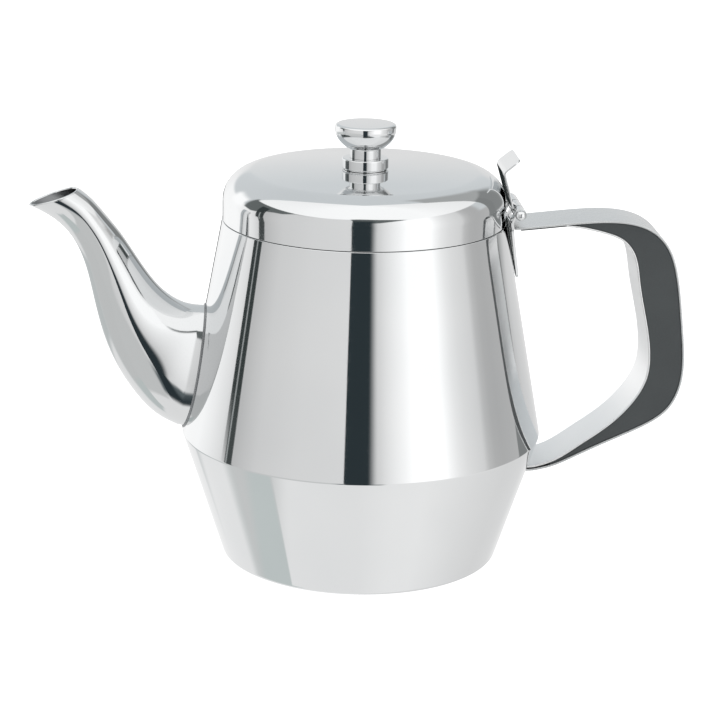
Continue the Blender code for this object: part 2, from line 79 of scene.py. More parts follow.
def high_of(node):
    """Highest corner of a CAD node, in millimetres."""
    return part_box(node)[1] / MM


# Body, with the heights and widths of the CAD shells
SHEET = 0.9
SHOULDER_RADIUS = 75.0
SHOULDER_Z = (high_of("lower_body").z + low_of("upper_body").z) / 2
SHOULDER_ROUND = 1.8
BASE_RADIUS = 57.5
BASE_ROUND = 2.5
BASE_RING_RADIUS = 49.0
BASE_RECESS = 0.5
RIM_RADIUS = 58.4
RIM_Z = 143.3
RIM_ROUND = 0.35
NECK_RADIUS = 55.4
NECK_TOP_Z = high_of("upper_body").z
EDGE_ROUND = 0.42

# Strainer holes behind the spout
HOLE_RADIUS = 2.5
HOLE_PITCH = 8.0
HOLE_ROWS_Z = (66.0, 73.0, 80.0, 87.0, 94.0)
HOLE_FEWEST = 2
HOLE_MARGIN = 6.0
HOLE_PUNCH_REACH = 5
HOLE_STEPS = 40

# Lid
SKIRT_RADIUS = high_of("lid_shell").x
SKIRT_LOW_Z = low_of("lid_shell").z - 0.1
HEM_ROUND = 0.2
LID_TOP_Z = high_of("lid_shell").z
LID_SHOULDER = 12.5
DOME_RADIUS = 1500.0

# Knob stack
KNOB_TOP_Z = high_of("knob").z
KNOB_LOW_Z = low_of("knob").z - 0.25
KNOB_RADIUS = high_of("knob").x
KNOB_FLAT_RADIUS = 11.2
KNOB_RIM_Z = 181.9
KNOB_NECK_RADIUS = 6.4
KNOB_NECK_Z = 173.7
KNOB_BOWL_FOOT_RADIUS = 8.2
KNOB_BOWL_POWER = 2.5
KNOB_COVE = 1.2
KNOB_BORE = 2.3
KNOB_BORE_TOP_Z = 177.7
KNOB_RIM_STEPS = 8
KNOB_BOWL_STEPS = 32
COLLAR_FOOT_RADIUS = 9.0
COLLAR_BEVEL = 0.6
COLLAR_FOOT_HEIGHT = 0.45
SCREW_RADIUS = 2.0
SCREW_HEAD_HEIGHT = 2.6
SLOT_SIZE = (12, 1, 2.4)

# Hinge
HINGE = Vector(frame["joints"][0]["pos_m"]) / MM
BARREL_HALF_LENGTH = 14.6
KNUCKLES = 5
KNUCKLE_GAP = 0.45
KNUCKLE_RADIUS = 2.5
KNUCKLE_BORE = 1.3
PIN_RADIUS = 1.2
PIN_HEAD_RADIUS = 2.25
PIN_HEAD_END = -38
LID_LEAF_PATH = ((60.2, 150.3), (58.6, 156.8), (56.3, 164.7), (62.5, 169.7))
LID_LEAF_THICKNESS = 0.8
LID_LEAF_HALF_WIDTH = 12.0
LID_LEAF_BEND = 1.6
LID_LEAF_PITCH = 0.35
TAB_CORNER = 2.6
BODY_CURL = (-70, 200)
BODY_WEB_ROOT = (0.1, 1.2)
BODY_WEB_DROP = 0.3
LID_CURL = (-160, 110)
LID_WEB_ROOT = ((0.5, 150.8), (0.1, 151.5))
TONGUE_GAP = 0.6
TONGUE_THICKNESS = 1.1
TONGUE_TOP_Z = 144.6
TONGUE_HALF_PLAN = ((0, 118.2), (2, 119.7), (9.5, 136.1), (12, 140.6), (BARREL_HALF_LENGTH, 142.6))

# Handle
BAND_HALF_WIDTH = 12.5
OUTER_BAND = 0.9
INNER_BAND = 0.8
BAND_ROUND = 0.28
INSERT_HALF_WIDTH = 12.1
INSERT_SEAM = 0.04
INSERT_TOP_X = 83.5
INSERT_LOW_X = 78.5
# Painted shade: a thin dark strip of the filler's grey runs on under the top arm to this X, standing in
# for the shade under the outer band.
SHADE_TAIL_X = 63.0
SHADE_TAIL_THICKNESS = 0.5
INSERT_BEVEL = 0.25
LEAF_BEVEL = 0.18
SEAT_DEPTH = 0.2
HANDLE_STEPS = 160
HANDLE_OUTER = (
    (60.8, 142.1), (73.0, 143.2), (88.0, 144.6), (100.5, 145.1), (110.0, 144.1), (118.8, 140.6),
    (125.5, 133.3), (129.7, 120.8), (132.6, 100.0), (133.9, 84.0), (132.6, 73.0), (127.6, 63.5),
    (118.5, 57.0), (104.0, 50.3), (88.0, 42.8), (79.5, 39.2), (70.7, 37.3),
)
HANDLE_INNER = (
    (82.0, 142.45), (87.0, 142.05), (93.5, 140.8), (99.5, 139.2), (106.0, 136.2), (110.0, 131.4),
    (112.8, 120.0), (116.3, 103.0), (118.6, 88.0), (117.8, 78.0), (112.2, 67.4), (102.0, 57.1),
    (90.3, 48.8), (79.2, 42.0), (71.2, 39.6),
)

# Spout stations from mouth to root: upper edge, lower edge, half width, fullness of the upper and
# of the lower half, and how far the widest line sags towards the lower edge
SPOUT = (
    (-116.8, 156.1, -137.0, 149.6, 9.1, 1.97, 1.95, -0.15),
    (-111.8, 152.0, -128.5, 144.8, 8.8, 1.90, 1.65, -0.18),
    (-106.4, 145.8, -120.6, 137.4, 9.0, 1.83, 1.48, -0.15),
    (-100.8, 138.8, -115.6, 127.9, 9.9, 1.78, 1.48, -0.10),
    (-94.6, 129.5, -112.2, 115.5, 11.2, 1.78, 1.50, -0.06),
    (-88.8, 120.7, -109.2, 101.8, 13.0, 1.80, 1.53, -0.02),
    (-83.2, 114.0, -104.8, 87.8, 14.5, 1.87, 1.61, 0.035),
    (-77.5, 109.6, -97.6, 74.2, 15.5, 2.02, 1.70, 0.11),
    (-72.0, 107.3, -87.5, 62.0, 15.8, 2.20, 1.76, 0.19),
    (-66.0, 106.6, -76.0, 55.3, 14.8, 2.33, 1.78, 0.29),
)
SPOUT_WALL = 1.0
SPOUT_STEPS = 120
SPOUT_SIDES = 144
LIP_STEPS = 6
ROOT_GAP = 0.02
WELD_RADIUS = 0.55
WELD_OFFSET = 0.25
WELD_SIDES = 12

ROUND_STEPS = 288
SMALL_STEPS = 128
CORNER_STEPS = 6
SHARP_ANGLE = math.radians(32)


# ---------------------------------------------------------------- mesh helpers


def finish_mesh(name, bm, material, slot, body, *nodes, inside=None):
    """Makes a piece of a bmesh in millimetres: smooth, weighted normals, riding on its body.

    Faces with material index 1 take the inside material.
    """
    bmesh.ops.remove_doubles(bm, verts=bm.verts, dist=1e-4)
    bmesh.ops.recalc_face_normals(bm, faces=bm.faces)
    mesh = bpy.data.meshes.new(name)
    bm.to_mesh(mesh)
    bm.free()
    mesh.transform(Matrix.Scale(MM, 4))
    mesh.shade_smooth()
    mesh.set_sharp_from_angle(angle=SHARP_ANGLE)
    mesh.materials.append(material)
    if inside:
        mesh.materials.append(inside)
    piece = bpy.data.objects.new(name, mesh)
    bpy.context.scene.collection.objects.link(piece)
    weighted = piece.modifiers.new("Weighted", "WEIGHTED_NORMAL")
    weighted.keep_sharp = True
    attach(piece, body)
    if nodes:
        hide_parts(*nodes)
    return piece


def arc(centre, radius, start, end, steps):
    """Points of an arc in a plane, with its angles in degrees."""
    turns = [math.radians(start + (end - start) * i / steps) for i in range(steps + 1)]
    return [(centre[0] + radius * math.cos(t), centre[1] + radius * math.sin(t)) for t in turns]


def rounded(corners, closed):
    """A plane path through (a, b, radius) corners, each turned into a tangent arc."""
    path = []
    count = len(corners)
    for i, (a, b, radius) in enumerate(corners):
        here = Vector((a, b))
        if not radius or (not closed and i in (0, count - 1)):
            path.append((a, b))
            continue
        before = (Vector(corners[i - 1][:2]) - here).normalized()
        after = (Vector(corners[(i + 1) % count][:2]) - here).normalized()
        half = before.angle(after) / 2
        centre = here + (before + after).normalized() * radius / math.sin(half)
        first = here + before * radius / math.tan(half) - centre
        last = here + after * radius / math.tan(half) - centre
        turn = first.angle_signed(last)
        for k in range(CORNER_STEPS + 1):
            spoke = first.copy()
            spoke.rotate(Matrix.Rotation(-turn * k / CORNER_STEPS, 2))
            path.append(tuple(centre + spoke))
    return path


def spin(bm, profile, steps, closed, matrix=Matrix.Identity(4)):
    """Adds a turned surface: a profile of (radius, height) round the matrix's Z axis."""
    rings = []
    for radius, height in profile:
        if radius < 1e-6:
            rings.append([bm.verts.new(matrix @ Vector((0, 0, height)))] * steps)
            continue
        turns = [2 * math.pi * k / steps for k in range(steps)]
        rings.append(
            [
                bm.verts.new(matrix @ Vector((radius * math.cos(t), radius * math.sin(t), height)))
                for t in turns
            ]
        )
    for ring, after in zip(rings, rings[1:] + rings[:1] if closed else rings[1:]):
        for k in range(steps):
            quad = [ring[k], ring[(k + 1) % steps], after[(k + 1) % steps], after[k]]
            corners = list(dict.fromkeys(quad))
            if len(corners) > 2:
                bm.faces.new(corners)


def sheet_of(bm, rows, ring_closed):
    """Adds the quads of a grid of points; ring_closed joins the end of each row to its start."""
    grid = [[bm.verts.new(p) for p in row] for row in rows]
    for row, after in zip(grid, grid[1:]):
        last = len(row) if ring_closed else len(row) - 1
        for k in range(last):
            following = (k + 1) % len(row)
            bm.faces.new((row[k], row[following], after[following], after[k]))
    return grid


def spline(points, steps):
    """A natural cubic spline through points of any dimension, evenly sampled along its length."""
    data = np.array(points, float)
    gaps = np.linalg.norm(np.diff(data[:, :2], axis=0), axis=1)
    at = np.concatenate([[0], np.cumsum(gaps)])
    count = len(data)
    system = np.zeros((count, count))
    known = np.zeros_like(data)
    system[0, 0] = system[-1, -1] = 1
    for i in range(1, count - 1):
        before, after = gaps[i - 1], gaps[i]
        system[i, i - 1 : i + 2] = before, 2 * (before + after), after
        known[i] = 6 * ((data[i + 1] - data[i]) / after - (data[i] - data[i - 1]) / before)
    bend = np.linalg.solve(system, known)
    found = []
    for s in np.linspace(0, at[-1], steps + 1):
        i = min(np.searchsorted(at, s, side="right") - 1, count - 2)
        gap, a, b = gaps[i], at[i + 1] - s, s - at[i]
        found.append(
            bend[i] * a**3 / (6 * gap)
            + bend[i + 1] * b**3 / (6 * gap)
            + (data[i] / gap - bend[i] * gap / 6) * a
            + (data[i + 1] / gap - bend[i + 1] * gap / 6) * b
        )
    return found


def cut(piece, make_cutter):
    """Cuts a shape from a piece for good, with an exact Boolean."""
    bm = bmesh.new()
    make_cutter(bm)
    bmesh.ops.recalc_face_normals(bm, faces=bm.faces)
    mesh = bpy.data.meshes.new("cutter")
    bm.to_mesh(mesh)
    bm.free()
    mesh.transform(Matrix.Scale(MM, 4))
    cutter = bpy.data.objects.new("cutter", mesh)
    bpy.context.scene.collection.objects.link(cutter)
    boolean = piece.modifiers.new("Cut", "BOOLEAN")
    boolean.operation = "DIFFERENCE"
    boolean.solver = "EXACT"
    boolean.object = cutter
    piece.modifiers.move(len(piece.modifiers) - 1, 0)
    weighted = piece.modifiers["Weighted"]
    weighted.show_viewport = False
    evaluated = piece.evaluated_get(bpy.context.evaluated_depsgraph_get())
    piece.data = bpy.data.meshes.new_from_object(evaluated)
    piece.modifiers.remove(boolean)
    weighted.show_viewport = True
    piece.data.set_sharp_from_angle(angle=SHARP_ANGLE)
    bpy.data.objects.remove(cutter, do_unlink=True)


# ---------------------------------------------------------------- materials


def node_in(tree, kind, **settings):
    """Adds a node; settings name its properties, or its inputs by socket name."""
    node = tree.nodes.new(kind)
    for name, value in settings.items():
        if hasattr(node, name):
            setattr(node, name, value)
        else:
            node.inputs[name.replace("_", " ")].default_value = value
    return node


def grained(tree, scale, stretch, detail):
    """Noise on the object's own coordinates, stretched by a factor along each axis."""
    where = node_in(tree, "ShaderNodeTexCoord")
    mapping = node_in(tree, "ShaderNodeMapping")
    mapping.inputs["Scale"].default_value = stretch
    noise = node_in(tree, "ShaderNodeTexNoise", Scale=scale, Detail=detail)
    tree.links.new(where.outputs["Object"], mapping.inputs["Vector"])
    tree.links.new(mapping.outputs["Vector"], noise.inputs["Vector"])
    return noise.outputs["Fac"]


def ranged(tree, value, low, high):
    """Spreads the middle of a noise value over a range."""
    node = node_in(tree, "ShaderNodeMapRange", From_Min=0.3, From_Max=0.7, To_Min=low, To_Max=high)
    tree.links.new(value, node.inputs["Value"])
    return node.outputs["Result"]


def between(tree, value, first, second):
    """Mixes two colours by a value."""
    ramp = node_in(tree, "ShaderNodeValToRGB")
    ramp.color_ramp.elements[0].color = (*first, 1)
    ramp.color_ramp.elements[0].position = 0.35
    ramp.color_ramp.elements[1].color = (*second, 1)
    ramp.color_ramp.elements[1].position = 0.65
    tree.links.new(value, ramp.inputs["Fac"])
    return ramp.outputs["Color"]


def principled(name, metallic):
    """A new material, with its tree and its Principled shader."""
    made = bpy.data.materials.new(name)
    made.use_nodes = True
    shader = made.node_tree.nodes["Principled BSDF"]
    shader.inputs["Metallic"].default_value = metallic
    return made, made.node_tree, shader


def bumped(tree, shader, value, strength, distance):
    """Raises a surface a little by a value."""
    bump = node_in(tree, "ShaderNodeBump", Strength=strength, Distance=distance)
    tree.links.new(value, bump.inputs["Height"])
    tree.links.new(bump.outputs["Normal"], shader.inputs["Normal"])


def steel(name, light, dark, smoothest, roughest, grain, grain_scale, grain_depth):
    """Stainless steel: a faint change of tone, patchy polish and fine lines left by the mop."""
    made, tree, shader = principled(name, 1.0)
    tone = grained(tree, 18, (1, 1, 1), 2)
    tree.links.new(between(tree, tone, dark, light), shader.inputs["Base Color"])
    lines = grained(tree, grain_scale, grain, 6)
    tree.links.new(ranged(tree, lines, smoothest, roughest), shader.inputs["Roughness"])
    bumped(tree, shader, lines, 0.15, grain_depth)
    return made


def mirror_steel(name, smoothest=0.025, roughest=0.06, painted_shade=0.0):
    """Mirror-polished sheet, with its polishing lines running round the pot. The last argument darkens
    the colour evenly: painted shade, for a part whose reflections are dimmer.
    """
    light = (0.765 - painted_shade, 0.772 - painted_shade, 0.775 - painted_shade)
    dark = (0.735 - painted_shade, 0.745 - painted_shade, 0.75 - painted_shade)
    return steel(name, light, dark, smoothest, roughest, (1, 1, 30), 60, 0.000002)


def brushed_steel(name):
    """Satin strip, brushed along its length."""
    light = (0.70, 0.71, 0.712)
    dark = (0.63, 0.645, 0.65)
    return steel(name, light, dark, 0.2, 0.34, (1, 40, 1), 70, 0.00001)


def buffed_steel(name):
    """Paler strip with a soft, even polish."""
    light = (0.93, 0.932, 0.932)
    dark = (0.89, 0.895, 0.897)
    return steel(name, light, dark, 0.34, 0.42, (1, 25, 1), 60, 0.000001)


def unpolished_steel(name):
    """The dull inside of the pot and the spout."""
    light = (0.27, 0.275, 0.28)
    dark = (0.2, 0.205, 0.21)
    return steel(name, light, dark, 0.3, 0.45, (1, 1, 8), 40, 0.00001)


def weld_steel(name):
    """A darker bead with a fine uneven surface."""
    light = (0.36, 0.37, 0.38)
    dark = (0.22, 0.225, 0.23)
    return steel(name, light, dark, 0.3, 0.5, (1, 1, 1), 300, 0.0001)


def moulded_insert(name):
    """Dark grey moulded filler with a fine matt grain."""
    made, tree, shader = principled(name, 0.0)
    patch = grained(tree, 30, (1, 1, 1), 3)
    tone = between(tree, patch, (0.034, 0.039, 0.041), (0.042, 0.048, 0.05))
    tree.links.new(tone, shader.inputs["Base Color"])
    grain = grained(tree, 2500, (1, 1, 1), 4)
    tree.links.new(ranged(tree, grain, 0.5, 0.68), shader.inputs["Roughness"])
    bumped(tree, shader, grain, 0.25, 0.00004)
    return made


POLISHED = mirror_steel("polished_sheet")
LID_POLISH = mirror_steel("polished_lid", 0.03, 0.08)
KNOB_POLISH = mirror_steel("polished_knob", 0.02, 0.05)
# The spout's copy of the polished steel is darker all over: painted shade for the dimmer reflections on
# the spout.
SPOUT_SHADED_POLISH = mirror_steel("polished_spout_painted_shade", 0.03, 0.09, 0.05)
HINGE_STEEL = mirror_steel("hinge_sheet", 0.05, 0.1)
SATIN = brushed_steel("satin_strip")
BUFFED = buffed_steel("buffed_strip")
INSERT = moulded_insert("moulded_grey")
UNPOLISHED = unpolished_steel("unpolished_sheet")
WELD = weld_steel("weld_bead")


# ---------------------------------------------------------------- body


def upper_radius(z):
    """Outer radius of the upper cone."""
    return SHOULDER_RADIUS + (z - SHOULDER_Z) * (RIM_RADIUS - SHOULDER_RADIUS) / (RIM_Z - SHOULDER_Z)


def lower_radius(z):
    """Outer radius of the lower cone."""
    return BASE_RADIUS + z * (SHOULDER_RADIUS - BASE_RADIUS) / SHOULDER_Z


def body_radius(z):
    """Outer radius of whichever cone is at a height."""
    return lower_radius(z) if z < SHOULDER_Z else upper_radius(z)


def make_body():
    """The drawn pot: base ring, both cones with a soft shoulder, the lid's ledge and the neck."""
    top = HOLE_ROWS_Z[-1] + HOLE_MARGIN
    bottom = HOLE_ROWS_Z[0] - HOLE_MARGIN
    neck_in = NECK_RADIUS - SHEET
    corners = [
        (NECK_RADIUS, NECK_TOP_Z, EDGE_ROUND),
        (NECK_RADIUS, RIM_Z, EDGE_ROUND),
        (RIM_RADIUS, RIM_Z, RIM_ROUND),
        (upper_radius(top), top, 0),
        (upper_radius(bottom), bottom, 0),
        (SHOULDER_RADIUS, SHOULDER_Z, SHOULDER_ROUND),
        (BASE_RADIUS, 0, BASE_ROUND),
        (BASE_RING_RADIUS, 0, EDGE_ROUND),
        (BASE_RING_RADIUS - 1, BASE_RECESS, EDGE_ROUND),
        (0, BASE_RECESS, 0),
        (0, BASE_RECESS + SHEET, 0),
        (lower_radius(BASE_RECESS + SHEET) - SHEET, BASE_RECESS + SHEET, BASE_ROUND - SHEET),
        (SHOULDER_RADIUS - SHEET, SHOULDER_Z, SHOULDER_ROUND),
        (upper_radius(bottom) - SHEET, bottom, 0),
        (upper_radius(top) - SHEET, top, 0),
        (RIM_RADIUS - SHEET, RIM_Z - SHEET, EDGE_ROUND),
        (neck_in, RIM_Z - SHEET, EDGE_ROUND),
        (neck_in, NECK_TOP_Z, EDGE_ROUND),
    ]
    bm = bmesh.new()
    spin(bm, rounded(corners, True), ROUND_STEPS, True)
    for face in bm.faces:
        centre = face.calc_center_median()
        across = math.hypot(centre.x, centre.y)
        if BASE_RECESS + SHEET / 2 < centre.z < RIM_Z - SHEET / 2:
            face.material_index = int(across < body_radius(centre.z) - SHEET / 2)
    shells = ("lower_body", "upper_body")
    body = finish_mesh("pot_body", bm, POLISHED, "polished_steel", "pot", *shells, inside=UNPOLISHED)
    cut(body, strainer_holes)


def strainer_holes(bm):
    """Punches for the staggered rows of holes in the wall behind the spout."""
    turn = Matrix.Rotation(math.pi / 2, 4, "Y")
    reach = HOLE_PUNCH_REACH
    rod = [(0, -reach), (HOLE_RADIUS, -reach), (HOLE_RADIUS, reach), (0, reach)]
    for row, z in enumerate(HOLE_ROWS_Z):
        count = HOLE_FEWEST + row % 2
        for i in range(count):
            y = (i - (count - 1) / 2) * HOLE_PITCH
            at = Matrix.Translation((-upper_radius(z), y, z)) @ turn
            spin(bm, rod, HOLE_STEPS, False, at)


# ---------------------------------------------------------------- spout


def oval(station, wall):
    """One section of the spout as a closed ring, from its upper edge round both sides."""
    upper = Vector((station[0], 0, station[1]))
    lower = Vector((station[2], 0, station[3]))
    along = (upper - lower).normalized()
    reach = (upper - lower).length / 2 - wall
    middle = (upper + lower) / 2
    ring = []
    for i in range(SPOUT_SIDES):
        turn = 2 * math.pi * i / SPOUT_SIDES
        power = 2 / (station[5] if math.cos(turn) > 0 else station[6])
        rise = math.copysign(abs(math.cos(turn)) ** power, math.cos(turn))
        side = math.copysign(abs(math.sin(turn)) ** power, math.sin(turn))
        rise -= station[7] * (1 - rise * rise)
        ring.append(middle + along * reach * rise + Vector((0, (station[4] - wall) * side, 0)))
    return ring


def mouth_direction(station):
    """The way the spout pours: square to its mouth, in the XZ plane."""
    slope = Vector((station[2] - station[0], 0, station[3] - station[1])).normalized()
    return Vector((slope.z, 0, -slope.x))


def onto_body(ring, gap):
    """The ring moved along X until it stands just off the upper cone."""
    return [Vector((-math.sqrt((upper_radius(p.z) + gap) ** 2 - p.y**2), p.y, p.z)) for p in ring]


def make_spout():
    """The pressed halves, joined and polished into one gooseneck with a rounded lip."""
    stations = spline(SPOUT, SPOUT_STEPS)
    outer = [oval(s, 0) for s in stations]
    inner = [oval(s, SPOUT_WALL) for s in stations]
    root = onto_body(outer[-1], ROOT_GAP)
    outer[-1] = root
    inner[-1] = onto_body(inner[-1], ROOT_GAP)
    out = mouth_direction(stations[0])
    lip = []
    for k in range(LIP_STEPS + 1):
        turn = math.pi * k / LIP_STEPS
        wall = SPOUT_WALL * (1 - math.cos(turn)) / 2
        back = SPOUT_WALL / 2 * (1 - math.sin(turn))
        lip.append([p - out * back for p in oval(stations[0], wall)])
    bm = bmesh.new()
    sheet_of(bm, outer[::-1][:-1] + lip, True)
    polished = len(bm.faces)
    sheet_of(bm, [lip[-1]] + inner[1:] + [root], True)
    bm.faces.ensure_lookup_table()
    for face in bm.faces[polished:]:
        face.material_index = 1
    halves = ("spout_left_half", "spout_right_half")
    finish_mesh("spout", bm, SPOUT_SHADED_POLISH, "polished_steel", "pot", *halves, inside=UNPOLISHED)
    make_weld(root)


def make_weld(root):
    """The narrow bead where the spout is welded to the body."""
    middle = sum(root, Vector()) / len(root)
    turns = [2 * math.pi * k / WELD_SIDES for k in range(WELD_SIDES)]
    rows = []
    for i, p in enumerate(root):
        along = (root[(i + 1) % len(root)] - root[i - 1]).normalized()
        away = Vector((p.x, p.y, 0)).normalized()
        side = along.cross(away).normalized()
        if side.dot(p - middle) < 0:
            side = -side
        spokes = [side * math.cos(t) + away * math.sin(t) for t in turns]
        rows.append([p + side * WELD_OFFSET + spoke * WELD_RADIUS for spoke in spokes])
    bm = bmesh.new()
    sheet_of(bm, rows + rows[:1], True)
    finish_mesh("spout_weld", bm, WELD, "polished_steel", "pot")


# ---------------------------------------------------------------- handle


def strip_rows(path, thickness, half_width, radius, widths=None):
    """Rounded rectangular sections of a strip along an XZ path, thickness to its right."""
    rows = []
    for i, point in enumerate(path):
        along = (path[min(i + 1, len(path) - 1)] - path[max(i - 1, 0)]).normalized()
        right = Vector((along.y, -along.x))
        half = widths[i] if widths else half_width
        corners = [
            (0, -half, radius),
            (thickness, -half, radius),
            (thickness, half, radius),
            (0, half, radius),
        ]
        section = rounded(corners, True)
        rows.append([Vector((point.x + right.x * a, y, point.y + right.y * a)) for a, y in section])
    return rows


def capped(bm, rows):
    """Adds a strip from its sections and closes both of its ends."""
    grid = sheet_of(bm, rows, True)
    bm.faces.new(grid[0])
    bm.faces.new(grid[-1][::-1])


def seated(row):
    """A strip's end section, moved along X until it meets the pot's lower cone."""
    return [Vector((math.sqrt(body_radius(p.z) ** 2 - p.y**2) - SEAT_DEPTH, p.y, p.z)) for p in row]


def moved_path(path, distance):
    """An XZ path moved to the right of its direction."""
    found = []
    for i, point in enumerate(path):
        along = (path[min(i + 1, len(path) - 1)] - path[max(i - 1, 0)]).normalized()
        found.append(point + Vector((along.y, -along.x)) * distance)
    return found


def make_handle():
    """The outer band, the inner band and the moulded filler between them."""
    outer = [Vector(p) for p in spline(HANDLE_OUTER, HANDLE_STEPS)]
    inner = [Vector(p) for p in spline(HANDLE_INNER, HANDLE_STEPS)]
    rows = strip_rows(outer, OUTER_BAND, BAND_HALF_WIDTH, BAND_ROUND)
    rows[-1] = seated(rows[-1])
    bm = bmesh.new()
    capped(bm, rows)
    finish_mesh("outer_band", bm, SATIN, "satin_steel", "pot", "handle_outer_band")
    rows = strip_rows(inner[::-1], INNER_BAND, BAND_HALF_WIDTH, BAND_ROUND)
    rows[0] = seated(rows[0])
    bm = bmesh.new()
    capped(bm, rows)
    finish_mesh("inner_band", bm, BUFFED, "satin_steel", "pot", "handle_inner_band")
    under_outer = moved_path(outer, OUTER_BAND + INSERT_SEAM)
    under_inner = moved_path(inner, -INNER_BAND - INSERT_SEAM)
    make_insert(under_outer, under_inner)


def filled_stretch(path):
    """The part of a handle path along which the bands are far enough apart to be filled."""
    middle = (path[0].y + path[-1].y) / 2
    return [p for p in path if p.x > (INSERT_TOP_X if p.y > middle else INSERT_LOW_X)]


def make_insert(outer, inner):
    """The filler: a flat-sided block with softened edges, and a thin dark strip of the same grey under
    the top arm, which is painted shade under the outer band.
    """
    middle = (outer[0].y + outer[-1].y) / 2
    # Painted shade: the thin dark strip under the top arm stands in for the shade under the outer band.
    shade_tail = [p for p in outer if SHADE_TAIL_X < p.x <= INSERT_TOP_X and p.y > middle]
    under = [p - Vector((0, SHADE_TAIL_THICKNESS)) for p in shade_tail[::-1]]
    outline = shade_tail + filled_stretch(outer) + filled_stretch(inner)[::-1] + under
    bm = bmesh.new()
    face = bm.faces.new([bm.verts.new((p.x, -INSERT_HALF_WIDTH, p.y)) for p in outline])
    moved = bmesh.ops.extrude_face_region(bm, geom=[face])["geom"]
    points = [v for v in moved if isinstance(v, bmesh.types.BMVert)]
    bmesh.ops.translate(bm, verts=points, vec=(0, 2 * INSERT_HALF_WIDTH, 0))
    piece = finish_mesh("insert", bm, INSERT, "dark_insert", "pot", "handle_insert")
    bevel = piece.modifiers.new("Bevel", "BEVEL")
    bevel.width = INSERT_BEVEL * MM
    bevel.segments = 3
    bevel.limit_method = "ANGLE"
    bevel.angle_limit = math.radians(50)
    piece.modifiers.move(1, 0)


# ---------------------------------------------------------------- hinge


def knuckle_spans(first):
    """The Y spans of every second knuckle along the barrel, from the first one."""
    pitch = 2 * BARREL_HALF_LENGTH / KNUCKLES
    for i in range(first, KNUCKLES, 2):
        low = -BARREL_HALF_LENGTH + i * pitch
        high = low + pitch
        yield low + KNUCKLE_GAP / 2 * (i > 0), high - KNUCKLE_GAP / 2 * (i < KNUCKLES - 1)


def curl(start, end, root, steps=28):
    """Outline of a rolled knuckle: a ring sector round the pin, then a web to its root edge."""
    centre = (HINGE.x, HINGE.z)
    outside = arc(centre, KNUCKLE_RADIUS, start, end, steps)
    inside = arc(centre, KNUCKLE_BORE, end, start, steps)
    return outside + root + inside


def extrude(bm, outline, low, high):
    """Adds an XZ outline extruded between two values of Y."""
    face = bm.faces.new([bm.verts.new((x, low, z)) for x, z in outline])
    moved = bmesh.ops.extrude_face_region(bm, geom=[face])["geom"]
    points = [v for v in moved if isinstance(v, bmesh.types.BMVert)]
    bmesh.ops.translate(bm, verts=points, vec=(0, high - low, 0))


def soften(piece, width):
    """Rounds the sharp edges of a small pressed piece."""
    bevel = piece.modifiers.new("Bevel", "BEVEL")
    bevel.width = width * MM
    bevel.segments = 3
    bevel.limit_method = "ANGLE"
    bevel.angle_limit = math.radians(40)
    piece.modifiers.move(1, 0)


def make_body_leaf():
    """The pointed tongue on the pot, and its three rolled knuckles."""
    plan = list(TONGUE_HALF_PLAN) + [(BARREL_HALF_LENGTH, TONGUE_TOP_Z)]
    plan += [(-y, z) for y, z in reversed(plan) if y > 0]
    lean = math.atan2(SHOULDER_RADIUS - RIM_RADIUS, RIM_Z - SHOULDER_Z)
    outward = Vector((math.cos(lean), 0, math.sin(lean)))
    bm = bmesh.new()
    face = bm.faces.new([bm.verts.new((upper_radius(z) + TONGUE_GAP, y, z)) for y, z in plan])
    moved = bmesh.ops.extrude_face_region(bm, geom=[face])["geom"]
    points = [v for v in moved if isinstance(v, bmesh.types.BMVert)]
    bmesh.ops.translate(bm, verts=points, vec=outward * TONGUE_THICKNESS)
    foot = upper_radius(TONGUE_TOP_Z) + TONGUE_GAP
    root = [(foot + out, TONGUE_TOP_Z - BODY_WEB_DROP) for out in BODY_WEB_ROOT]
    for low, high in knuckle_spans(0):
        extrude(bm, curl(*BODY_CURL, root), low, high)
    leaf = finish_mesh("body_leaf", bm, HINGE_STEEL, "hinge_steel", "pot", "body_hinge_leaf")
    soften(leaf, LEAF_BEVEL)


def tab_widths(path):
    """Half width of the lid leaf along its path, drawn in to round the thumb tab's corners."""
    left = [0.0]
    for a, b in zip(path[::-1], path[-2::-1]):
        left.append(left[-1] + (a - b).length)
    widths = []
    for distance in left[::-1]:
        inset = TAB_CORNER - min(distance, TAB_CORNER)
        widths.append(LID_LEAF_HALF_WIDTH - (TAB_CORNER - math.sqrt(TAB_CORNER**2 - inset**2)))
    return widths


def make_lid_leaf():
    """The strip up the lid's back, bent out into the thumb tab, with two rolled knuckles."""
    corners = [(x, z, LID_LEAF_BEND) for x, z in LID_LEAF_PATH]
    path = [Vector(p) for p in rounded(corners, False)]
    fine = [path[0]]
    for a, b in zip(path, path[1:]):
        pieces = max(1, round((b - a).length / LID_LEAF_PITCH))
        fine += [a.lerp(b, (k + 1) / pieces) for k in range(pieces)]
    widths = tab_widths(fine)
    bm = bmesh.new()
    capped(bm, strip_rows(fine, -LID_LEAF_THICKNESS, 0, 0.2, widths))
    root = [(LID_LEAF_PATH[0][0] - inset, z) for inset, z in LID_WEB_ROOT]
    for low, high in knuckle_spans(1):
        extrude(bm, curl(*LID_CURL, root[::-1]), low, high)
    finish_mesh("lid_leaf", bm, HINGE_STEEL, "hinge_steel", "lid", "lid_hinge_leaf")


def make_pin():
    """The hinge pin with a ball head at each end."""
    half = high_of("hinge_pin").y
    centre = half - PIN_HEAD_RADIUS
    ball = arc((0, centre), PIN_HEAD_RADIUS, 90, PIN_HEAD_END, 20)[1:]
    side = [(0, half)] + ball + [(PIN_RADIUS, BARREL_HALF_LENGTH + KNUCKLE_GAP)]
    profile = side + [(x, -z) for x, z in reversed(side)]
    bm = bmesh.new()
    at = Matrix.Translation(HINGE) @ Matrix.Rotation(math.pi / 2, 4, "X")
    spin(bm, profile, 48, False, at)
    finish_mesh("pin", bm, KNOB_POLISH, "hinge_steel", "pot", "hinge_pin")


# ---------------------------------------------------------------- lid and knob


